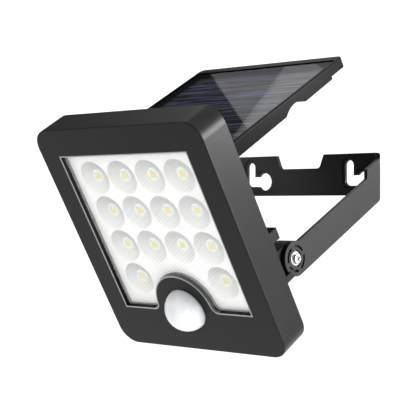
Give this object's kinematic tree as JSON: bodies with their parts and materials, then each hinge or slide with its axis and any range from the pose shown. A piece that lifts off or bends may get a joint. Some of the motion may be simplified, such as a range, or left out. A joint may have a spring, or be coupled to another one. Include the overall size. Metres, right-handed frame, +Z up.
{
  "type": "solar flood light",
  "caption": "Solar flood light: rectangular lamp head with a domed motion sensor, a folding solar panel and a U-shaped wall bracket with keyholes.",
  "frame": {"origin": "centre of the wall plate's rear face, where the bracket touches the wall", "axes": "+Y out of the plate's rear face into the wall, +Z up, +X to the right seen from the front"},
  "size_m": [0.14, 0.1797, 0.1844],
  "materials": {
    "black_abs": "fine-textured moulded black ABS",
    "bracket_paint": "dark grey powder coat on steel strap",
    "rubber": "matte black rubber",
    "clear_lens": "clear moulded plastic with a fine prism pattern",
    "white_reflector": "white moulded plastic",
    "white_board": "white solder mask on aluminium board",
    "led_phosphor": "yellow phosphor over a white LED package",
    "sensor_lens": "milky white moulded lens",
    "green_board": "green circuit board",
    "steel": "bright zinc-plated steel",
    "battery_wrap": "blue shrink sleeve",
    "black_parts": "black moulded component bodies",
    "button_rubber": "soft dark grey rubber",
    "nylon": "natural nylon",
    "panel_glass": "smooth clear cover glass",
    "solar_silicon": "dark blue silicon cells",
    "backing_sheet": "dark backing sheet"
  },
  "bodies": {
    "bracket": {"wall_bracket": "bracket_paint"},
    "head": {"front_housing": "black_abs", "rear_cover": "black_abs", "housing_gasket": "rubber", "window_lens": "clear_lens", "lens_gasket": "rubber", "reflector": "white_reflector", "led_board": "white_board", "led_chips": "led_phosphor", "sensor_dome": "sensor_lens", "dome_seal": "rubber", "sensor_holder": "black_abs", "sensor_board": "green_board", "motion_sensor": "steel", "board_screws": "steel", "cover_screws": "steel", "battery_cell": "battery_wrap", "battery_cradle": "black_abs", "battery_tabs": "steel", "control_board": "green_board", "board_parts": "black_parts", "mode_switch": "black_parts", "head_grommet": "rubber", "pivot_screws": "steel", "pivot_washers": "steel", "friction_washers": "nylon", "pivot_nuts": "steel"},
    "button": {"mode_button": "button_rubber"},
    "panel": {"panel_frame": "black_abs", "panel_glass": "panel_glass", "solar_cells": "solar_silicon", "cell_ribbons": "steel", "backing_sheet": "backing_sheet", "panel_back_cover": "black_abs", "panel_screws": "steel", "panel_grommet": "rubber", "hinge_pins": "steel"}
  },
  "joints": [
    {"name": "head_tilt", "type": "hinge", "parent": "bracket", "child": "head", "pos_m": [0, -0.0899, -0.052], "axis": [1, 0, 0], "range_deg": [-30, 55]},
    {"name": "panel_fold", "type": "hinge", "parent": "head", "child": "panel", "pos_m": [0, -0.12673, -0.00467], "axis": [1, 0, 0], "range_deg": [-88.7, 6]},
    {"name": "button_press", "type": "slide", "parent": "head", "child": "button", "axis": [0, -0.8599, -0.5105], "range_m": [0, 0.001], "stiffness_N_per_m": 600, "springref_m": -0.0005}
  ]
}
